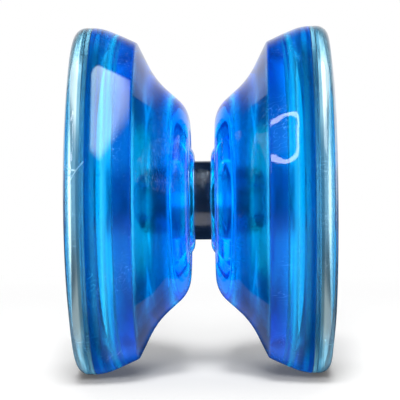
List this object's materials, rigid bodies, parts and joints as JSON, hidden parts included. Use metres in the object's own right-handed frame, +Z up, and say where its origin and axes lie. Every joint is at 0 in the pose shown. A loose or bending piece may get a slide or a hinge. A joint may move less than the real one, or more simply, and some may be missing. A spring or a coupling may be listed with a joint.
{
  "type": "yo yo",
  "caption": "Ball-bearing yo yo with flared translucent halves, clear side caps and a V-shaped string gap round a free-turning bearing on a threaded stud.",
  "frame": {"origin": "centre of the bearing, midway between the two hubs", "axes": "+X along the axle towards the right half, +Z up, -Y towards the viewer"},
  "size_m": [0.0416, 0.0558, 0.0558],
  "materials": {
    "blue_plastic": "clear blue, polished",
    "clear_plastic": "water-clear, polished",
    "nut_steel": "plated",
    "aluminium": "turned",
    "silicone": "clear, soft",
    "stud_steel": "blackened",
    "race_steel": "ground",
    "dark_race": "dark, ground and polished",
    "cage_steel": "stamped",
    "shield_steel": "bright",
    "ball_steel": "mirror"
  },
  "bodies": {
    "spool": {"left_shell": "blue_plastic", "right_shell": "blue_plastic", "left_rim_ring": "clear_plastic", "right_rim_ring": "clear_plastic", "left_side_cap": "clear_plastic", "right_side_cap": "clear_plastic", "left_axle_nut": "nut_steel", "right_axle_nut": "nut_steel", "left_bearing_spacer": "aluminium", "right_bearing_spacer": "aluminium", "left_response_pad": "silicone", "right_response_pad": "silicone", "axle_stud": "stud_steel", "bearing_inner_race": "race_steel"},
    "outer_ring": {"bearing_outer_race": "dark_race", "left_bearing_shield": "shield_steel", "right_bearing_shield": "shield_steel", "left_snap_ring": "shield_steel", "right_snap_ring": "shield_steel"},
    "ball_train": {"bearing_cage": "cage_steel", "bearing_ball_1": "ball_steel", "bearing_ball_2": "ball_steel", "bearing_ball_3": "ball_steel", "bearing_ball_4": "ball_steel", "bearing_ball_5": "ball_steel", "bearing_ball_6": "ball_steel", "bearing_ball_7": "ball_steel", "bearing_ball_8": "ball_steel"}
  },
  "joints": [
    {"name": "outer_race_spin", "type": "hinge", "parent": "spool", "child": "outer_ring", "pos_m": [0, 0, 0], "axis": [1, 0, 0], "continuous": true},
    {"name": "ball_train_spin", "type": "hinge", "parent": "spool", "child": "ball_train", "pos_m": [0, 0, 0], "axis": [1, 0, 0], "continuous": true}
  ],
  "couplings": [
    {"joint": "ball_train_spin", "follows": "outer_race_spin", "ratio": 0.58336}
  ]
}
